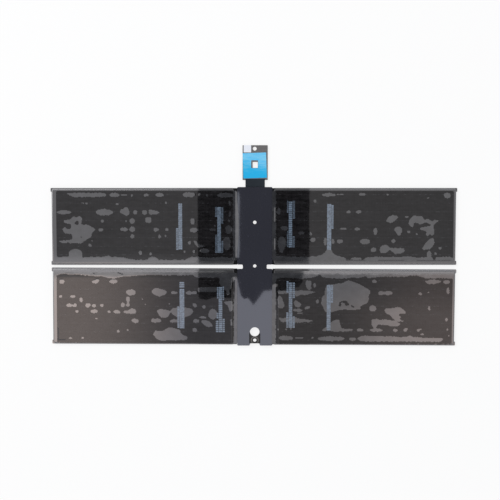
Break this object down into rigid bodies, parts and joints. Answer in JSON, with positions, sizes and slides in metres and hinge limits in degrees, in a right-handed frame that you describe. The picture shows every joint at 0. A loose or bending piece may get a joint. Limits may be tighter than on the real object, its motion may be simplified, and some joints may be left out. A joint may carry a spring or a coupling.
{
  "type": "laptop battery",
  "caption": "Flat lithium polymer battery pack: pouch cells in two rows joined by a centre column with screw holes, release liners on the adhesive face and a short connector tail.",
  "frame": {"origin": "under the middle of the pack, on the surface the cells lie on", "axes": "+X along the rows of cells, +Y towards the connector tail, +Z out of the adhesive face"},
  "size_m": [0.2784, 0.1376, 0.0035],
  "materials": {
    "pouch": "black nylon-skinned laminate, satin",
    "aluminium_tab": "rolled",
    "nickel_tab": "rolled",
    "adhesive": "black acrylic",
    "release_liner": "glossy film, dark where stuck down",
    "column_film": "glossy black film",
    "frame_plastic": "moulded",
    "board": "solder mask",
    "tail_board": "dark solder mask",
    "component": "moulded package",
    "ceramic_component": "fired",
    "flex": "cover film",
    "blue_tape": "blue film",
    "label": "blank",
    "connector": "moulded",
    "contact": "gold plated"
  },
  "bodies": {
    "root": {"adhesive_lower_left": "adhesive", "adhesive_lower_right": "adhesive", "adhesive_upper_left": "adhesive", "adhesive_upper_right": "adhesive", "back_film": "column_film", "capacitor_1": "ceramic_component", "capacitor_2": "ceramic_component", "capacitor_3": "ceramic_component", "capacitor_4": "ceramic_component", "cell_lower_left": "pouch", "cell_lower_right": "pouch", "cell_upper_left": "pouch", "cell_upper_right": "pouch", "centre_frame": "frame_plastic", "charge_transistor": "component", "chemical_fuse": "ceramic_component", "connector_contact_1": "contact", "connector_contact_2": "contact", "connector_contact_3": "contact", "connector_contact_4": "contact", "connector_contact_5": "contact", "connector_contact_6": "contact", "connector_contact_7": "contact", "connector_contact_8": "contact", "discharge_transistor": "component", "front_film": "column_film", "gauge_chip": "component", "protection_board": "board", "protective_tape": "blue_tape", "release_liner_lower_left": "release_liner", "release_liner_lower_right": "release_liner", "release_liner_upper_left": "release_liner", "release_liner_upper_right": "release_liner", "second_protector": "component", "sense_resistor": "ceramic_component", "tab_lower_left_negative": "nickel_tab", "tab_lower_left_positive": "aluminium_tab", "tab_lower_right_negative": "nickel_tab", "tab_lower_right_positive": "aluminium_tab", "tab_upper_left_negative": "nickel_tab", "tab_upper_left_positive": "aluminium_tab", "tab_upper_right_negative": "nickel_tab", "tab_upper_right_positive": "aluminium_tab", "tail_board": "tail_board", "tail_connector": "connector", "tail_flex": "flex", "tail_label": "label", "thermistor": "ceramic_component"}
  },
  "joints": []
}
